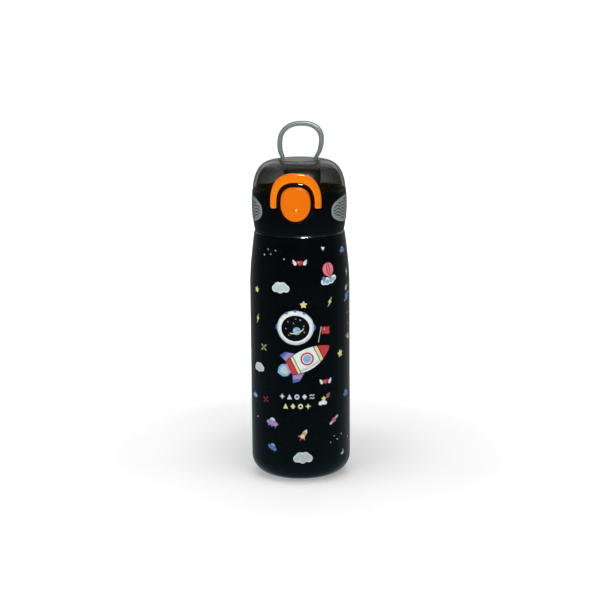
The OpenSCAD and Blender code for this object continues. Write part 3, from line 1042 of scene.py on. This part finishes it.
def make_grip(name, side, node):
    """Silicone pad with a smooth rim and wavy ribs across its face."""
    half_y, half_z, mid = 22.6, 9.4, 190.9
    count, rings = 220, 64
    sections = []
    rim = [(0.0, -1.1), (0.0, -0.05), (0.06, 0.1), (0.2, 0.2), (0.45, 0.26), (1.0, 0.26), (1.25, 0.2)]
    inner_start = 1.5

    def wave(y, z):
        return sin(2 * pi * (z - mid + 0.45 * sin(2 * pi * y / 5.4)) / 2.15)

    def ribs(y, z, inset):
        fade = min(1, (inset - inner_start) / 0.5)
        return 0.26 - 0.42 * fade * max(0, wave(y, z) - 0.1)

    def section(inset, lift):
        ring = []
        for y, z in egg(half_y - inset, half_z - inset, half_z - inset, 2.5, 2.5, mid, count):
            rise = ribs(y, z, inset) if lift is None else lift
            radius = collar_r(z) + rise
            ring.append((side * sqrt(radius**2 - y**2), y, z))
        return ring

    for inset, lift in rim:
        sections.append(section(inset, lift))
    for inset in span(inner_start, half_z - 0.02, rings):
        sections.append(section(inset, None))
    mesh = loft(name, sections, 80)
    mesh.materials.append(materials["grip_rubber"])
    mesh.materials.append(materials["grip_groove_shade"])
    # Painted shade: faces sunk in the hollows between the ribs get the darker groove material
    for face in mesh.polygons:
        middle = face.center / MM
        y, z = middle.y, middle.z
        hollow = hypot(middle.x, y) < collar_r(z) + 0.14
        inside = (abs(y) / (half_y - 1.6)) ** 2.5 + (abs(z - mid) / (half_z - 1.6)) ** 2.5 < 1
        face.material_index = 1 if hollow and inside else 0
    piece(name, mesh, "lid", "grip_rubber", [node])


def make_bezel():
    """Black rim round the button, with the well that the button slides in."""
    rings = [(0.4, BEZEL_BACK), (0, BEZEL_BACK + 0.4), (0, 33.5), (0.1, 33.9), (0.35, 34.18)]
    rings += [(0.7, BEZEL_FRONT), (1.1, BEZEL_FRONT), (1.74, BEZEL_FRONT - 0.02)]
    rings += [(1.92, 34.2), (2.0, 33.9)]
    rings += [(2.02, 32.5), (2.05, 28.6), (2.4, 28.45), (5, 28.4), (9, 28.4), (12, 28.4)]
    half = BUTTON_HALF + BEZEL_WALL
    sections = puck(rings, half, BEZEL_UP, BEZEL_DOWN, 2.5, 2.1, BUTTON_MID)
    mesh = carve(
        loft("bezel_rim", sections, 50),
        [prism("bore", circle(*BAIL_PIVOT, 1.25, 24), along_x, low, low + 3) for low in (10.8, -13.8)],
    )
    piece("bezel_rim", mesh, "lid", "bezel_plastic", ["button_bezel"])


def make_spout():
    """Soft drinking nozzle with a rolled lip and a round channel."""
    outer = [(4.55, 194.5), (6.4, 194.5), (6.4, 201.2), (8.6, 201.2)]
    outer += arc(8.6, 201.8, 0.6, -90, 90, 8)
    outer += [(7.2, 202.5), (6.3, 203.2), (5.6, 204.6), (5.1, 206.4), (4.8, 208.4), (4.8, 209.8)]
    outer += arc(4.2, 211.5, 1.1, -50, 130, 12)
    outer += [(3.1, 213.0), (2.6, 212.7), (2.3, 212.0), (2.3, 199.0), (4.55, 199.0)]
    piece("spout", lathe("spout", outer, 96, 55), "lid", "silicone", ["nozzle"])


def make_springs():
    wire = "spring_steel"
    hinge = coil("hinge_coil", (0, *HINGE), (1, 0, 0), 2.0, 0.34, 7.4, 8)
    piece("hinge_coil", hinge, "lid", wire, ["hinge_spring"])
    low, high = cad_mm("button_spring")
    centre = (low + high) / 2
    spring = coil("button_coil", tuple(centre), (0, 1, 0), 3.0, 0.34, high.y - low.y - 0.7, 3.5)
    coil_piece = piece("button_coil", spring, "lid", wire, ["button_spring"])
    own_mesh(coil_piece)


make_collar()
make_hinge_ears()
make_grip("grip_pad_right", 1, "grip_right")
make_grip("grip_pad_left", -1, "grip_left")
make_bezel()
make_spout()
make_springs()


# ---- Cover ----


def make_dome():
    outer = dome_arc(DOME_R, dome_low.z + 0.35, DOME_TOP)
    inner = dome_arc(DOME_R - DOME_T, dome_low.z + 0.35, DOME_TOP - DOME_T)
    rim = arc(DOME_R - 0.35, dome_low.z + 0.35, 0.35, -10, -90, 5)
    rim_in = arc(DOME_R - DOME_T + 0.35, dome_low.z + 0.35, 0.35, -90, -170, 5)
    profile = outer + inner[::-1] + rim_in[::-1] + rim[::-1]
    cutters = [
        prism("window", bezel_outline(0.5), along_y, -60, -10),
        prism("rear", [(-13.1, 200), (13.1, 200), (13.1, 214.6), (-13.1, 214.6)], along_y, 20, 60),
        prism("seat_hole", circle(0, 0, 14.3, 96), lambda a, b, depth: (a, b, depth), 215, 240),
    ]
    mesh = carve(lathe("dome_skin", profile), cutters)
    piece("dome_skin", mesh, "cover", "smoke", ["dome_cover"])


def arch(name, outer, inner, thickness, corner, place, legs, cap, angles):
    """Band between two egg outlines, from one leg's end over the top to the other leg's end.

    outer and inner are (half, up, down, n_up, n_down, mid). legs lists the heights of the
    straight part of a leg, from its end upwards. cap is how far the rounded end reaches.
    """

    def pair(angle):
        points = []
        for half, up, down, n_up, n_down, mid in (outer, inner):
            x, z = egg_point(half, up, down, angle, n_up, n_down)
            points.append((x, z + mid))
        return points

    def section(out, inn, narrow=0.0):
        width = hypot(out[0] - inn[0], out[1] - inn[1])
        scale = 1 - 2 * narrow / width
        thin = 1 - 2 * narrow / thickness
        ring = []
        for a, b in rounded_rect(width, thickness, corner):
            u = 0.5 + a * scale / width
            x = inn[0] + (out[0] - inn[0]) * u
            z = inn[1] + (out[1] - inn[1]) * u
            ring.append(place(x, z, b * thin))
        return ring

    first = pair(angles[0])
    last = pair(angles[-1])
    sections = []
    for side, ends in ((0, first), (1, last)):
        run = []
        for turn in (88, 70, 50, 30, 12):
            drop = legs[0] - cap * sin(radians(turn))
            run.append(([(p[0], drop) for p in ends], cap * (1 - cos(radians(turn)))))
        for z in legs:
            run.append(([(p[0], z) for p in ends], 0.0))
        made = [section(*pts, narrow) for pts, narrow in run]
        if side == 0:
            sections = made + [section(*pair(angle)) for angle in angles]
        else:
            sections += made[::-1]
    return loft(name, sections, 60)


def make_carry_ring():
    outer = (RING_HALF, RING_TOP - RING_MID, 16.6, 2.3, 2.3, RING_MID)
    inner = (RING_HALF - 3.3, RING_TOP - RING_MID - 3.3, 15.4, 2.3, 2.3, RING_MID)
    level = (RING_MID - RING_NECK_Z) / 16.0
    dip = asin(level ** (2.3 / 2))
    angles = span(-dip, pi + dip, 90)
    legs = (RING_AXIS_Z - 0.4, RING_AXIS_Z + 1.2)

    def place(x, z, depth):
        """The soft ring leans a little to the right above its seat."""
        return (x + 2.3 * max((z - 223) / 27, 0) ** 0.8, depth, z)

    mesh = arch("ring_loop", outer, inner, RING_DEEP, 1.25, place, legs, 1.6, angles)
    piece("ring_loop", mesh, "ring", "ring_rubber", ["carry_ring"])
    bar = prism("ring_bar", circle(0, RING_AXIS_Z, 1.7), along_x, -10.5, 10.5)
    piece("ring_bar", bar, "ring", "ring_rubber")


soften_edges("ring_seat", 0.45)
make_dome()
make_carry_ring()


# ---- Button and bail ----


def nub_lift(x, z):
    """Small round nub low on the button."""
    reach = hypot(x - NUB[0], z - NUB[1])
    if reach >= 2.25:
        return 0
    return sqrt(3.1**2 - reach**2) - sqrt(3.1**2 - 2.25**2)


def make_button():
    rings = [(0.3, 31.65), (0.0, 31.9), (0.0, 33.9), (0.07, 34.15), (0.22, 34.38)]
    rings += [(0.85, 34.93), (1.0, 35.02), (1.2, 35.08)]
    rings += [(1.35 + 0.115 * i, BUTTON_FRONT - 0.07 + 0.0007 * i) for i in range(76)]
    rings += [(10.1, BUTTON_FRONT)]
    sections = puck(
        rings, BUTTON_HALF, BUTTON_UP, BUTTON_DOWN, 2.65, 2.05, BUTTON_MID, 240, nub_lift
    )
    mesh = loft("thumb_button", sections, 50)
    piece("thumb_button", mesh, "button", "orange_button", ["button"])
    stem = prism("button_stem", circle(0, 196.8, 1.9, 32), along_y, -31.8, -26.8, 0.3)
    piece("button_stem", stem, "button", "orange_button")


def make_bail():
    outer = (BAIL_HALF, BAIL_TOP - BUTTON_MID, 2, 2.5, 8, BUTTON_MID)
    inner = (BAIL_HALF - 4.4, BAIL_TOP - 6.4 - BUTTON_MID, 2, 2.5, 8, BUTTON_MID)
    middle_r = BAIL_R + BAIL_T / 2
    cap = 1.3

    def place(x, z, depth):
        return on_front(x, z, middle_r + depth)

    foot = BAIL_LOW + 1.1 + cap
    legs = (foot, foot + 0.8, BUTTON_MID - 0.6)
    mesh = arch("lock_bail", outer, inner, BAIL_T, 1.25, place, legs, cap, span(0, pi, 120))
    piece("lock_bail", mesh, "bail", "orange_bail", ["bail"])
    for name, low in (("bail_stub_right", 11), ("bail_stub_left", -15)):
        stub = prism(name, circle(*BAIL_PIVOT, 1.2, 24), along_x, low, low + 4, 0.2)
        piece(name, stub, "bail", "black_plastic")


make_button()
make_bail()


# ---- Camera, light and floor ----


def make_camera():
    turn, pitch, roll = radians(4.5), 0.206, radians(-0.44)
    distance, height = 1.2, 0.375
    data = bpy.data.cameras.new("camera")
    data.sensor_width = 36
    data.lens = 104.8
    data.clip_end = 20
    camera = add_object("camera", data)
    turned = Matrix.Rotation(turn, 4, "Z") @ Matrix.Rotation(pi / 2 - pitch, 4, "X")
    place = Matrix.Translation((distance * sin(turn), -distance * cos(turn), height))
    camera.matrix_world = place @ turned @ Matrix.Rotation(roll, 4, "Z")
    bpy.context.scene.camera = camera


def area_light(name, place, target, size, power):
    data = bpy.data.lights.new(name, "AREA")
    data.shape = "RECTANGLE"
    data.size, data.size_y = size
    data.energy = power
    light = add_object(name, data)
    light.location = place
    light.rotation_euler = (Vector(target) - Vector(place)).to_track_quat("-Z", "Y").to_euler()
    light.visible_camera = False
    return light


def flat_stage(name, mesh, mat):
    """A mesh of the studio, which isn't part of the bottle."""
    mesh.materials.append(mat)
    obj = add_object(name, mesh)
    obj.visible_glossy = name != "floor"
    return obj


def glow(mat, coordinate, stops, tint=(1, 1, 1)):
    """Colour that follows a coordinate; stops are (coordinate, brightness)."""
    low, high = stops[0][0], stops[-1][0]
    spread = new_node(mat, "ShaderNodeMapRange")
    spread.inputs["From Min"].default_value = low
    spread.inputs["From Max"].default_value = high
    ramp = new_node(mat, "ShaderNodeValToRGB")
    ramp.color_ramp.interpolation = "EASE"
    elements = ramp.color_ramp.elements
    while len(elements) < len(stops):
        elements.new(0.5)
    for element, (value, strength) in zip(elements, stops):
        element.position = (value - low) / (high - low)
        element.color = (*scaled(tint, strength), 1)
    link(mat, coordinate, spread.inputs["Value"])
    link(mat, spread.outputs["Result"], ramp.inputs["Fac"])
    return ramp.outputs["Color"]


def emit(mat, color, strength):
    node = mat.node_tree.nodes["Principled BSDF"]
    node.inputs["Emission Strength"].default_value = strength
    link(mat, color, node.inputs["Emission Color"])


def make_floor():
    bm = bmesh.new()
    bmesh.ops.create_grid(bm, x_segments=8, y_segments=8, size=60)
    mesh = bpy.data.meshes.new("floor")
    bm.to_mesh(mesh)
    bm.free()
    mat = shader("floor_painted_shadow", (0.9, 0.9, 0.9), 1.0, Specular_IOR_Level=0.0)
    place = new_node(mat, "ShaderNodeTexCoord")
    reach = new_node(mat, "ShaderNodeVectorMath", operation="LENGTH")
    link(mat, place.outputs["Object"], reach.inputs[0])
    # Painted shadow: the floor's glow is dim close to the bottle and rises to full white 0.3 m out, a pool
    # of shade round the base on top of the real cast shadows
    emit(mat, glow(mat, reach.outputs["Value"], [(0.04, 0.28), (0.12, 0.43), (0.3, 1)]), 1.05)
    flat_stage("floor", mesh, mat).location = (0, 0.04, -0.00005)


def make_reflected_wall():
    """Wall and bottom that only reflections see: brighter behind the bottle and low down."""
    bm = bmesh.new()
    wall_r, bottom, top = 1.6, -1.6, 2.2
    ring = circle(0, 0, wall_r, 64)
    low = [bm.verts.new((x, y, bottom)) for x, y in ring]
    high = [bm.verts.new((x, y, top)) for x, y in ring]
    for i in range(len(ring)):
        bm.faces.new((low[i - 1], low[i], high[i], high[i - 1]))
    bm.faces.new(low)
    mesh = finish_mesh(bm, "reflected_wall")
    mat = shader("wall_glow", (0, 0, 0), 1.0, Specular_IOR_Level=0.0)
    place = new_node(mat, "ShaderNodeTexCoord")
    parts = new_node(mat, "ShaderNodeSeparateXYZ")
    link(mat, place.outputs["Object"], parts.inputs["Vector"])
    around = glow(mat, parts.outputs["Y"], [(-1.6, 0.0), (0, 0.015), (0.7, 0.05), (1.3, 0.12), (1.6, 0.15)])
    below = glow(mat, parts.outputs["Z"], [(-0.75, 0.1), (-0.08, 0.003)], (0.4, 0.85, 1))
    both = new_node(mat, "ShaderNodeVectorMath", operation="ADD")
    link(mat, around, both.inputs[0])
    link(mat, below, both.inputs[1])
    emit(mat, both.outputs["Vector"], 1.0)
    wall = flat_stage("reflected_wall", mesh, mat)
    wall.visible_camera = False
    wall.visible_diffuse = False
    wall.visible_shadow = False
    wall.visible_transmission = False


def make_studio():
    scene = bpy.context.scene
    scene.view_settings.view_transform = "Standard"
    world = bpy.data.worlds.new("studio")
    scene.world = world
    world.use_nodes = True
    back = world.node_tree.nodes["Background"]
    back.inputs["Color"].default_value = (1, 1, 1, 1)
    back.inputs["Strength"].default_value = 1.02
    world.cycles_visibility.glossy = False
    world.cycles_visibility.diffuse = False
    for name, place, target, size, power in (
        ("window", (0.25, -0.72, 0.86), (0, 0, 0.2), (0.28, 0.14), 50),
        ("crown_glow", (0, 1.1, 0.95), (0, 0, 0.22), (1.8, 0.8), 4.2),
        ("top_glow", (-0.05, 0.45, 1.4), (0, 0, 0.22), (1.4, 0.9), 4),
    ):
        area_light(name, place, target, size, power).visible_diffuse = False
    for name, place, size, power in (
        ("key_soft", (0.35, -0.9, 1.0), (0.6, 0.4), 3.5),
        ("top_soft", (-0.1, 0.1, 1.25), (1.3, 1.3), 6),
        ("front_soft", (-0.7, -1.25, 0.75), (1.2, 1.2), 5),
        ("right_soft", (1.3, -0.3, 0.4), (0.9, 1.2), 2.2),
        ("left_soft", (-1.3, -0.2, 0.4), (0.9, 1.2), 2.2),
        ("rear_soft", (0.1, 1.3, 0.7), (1.4, 1.2), 3),
    ):
        area_light(name, place, (0, 0, 0.13), size, power).visible_glossy = False
    make_reflected_wall()
    make_floor()


make_camera()
make_studio()
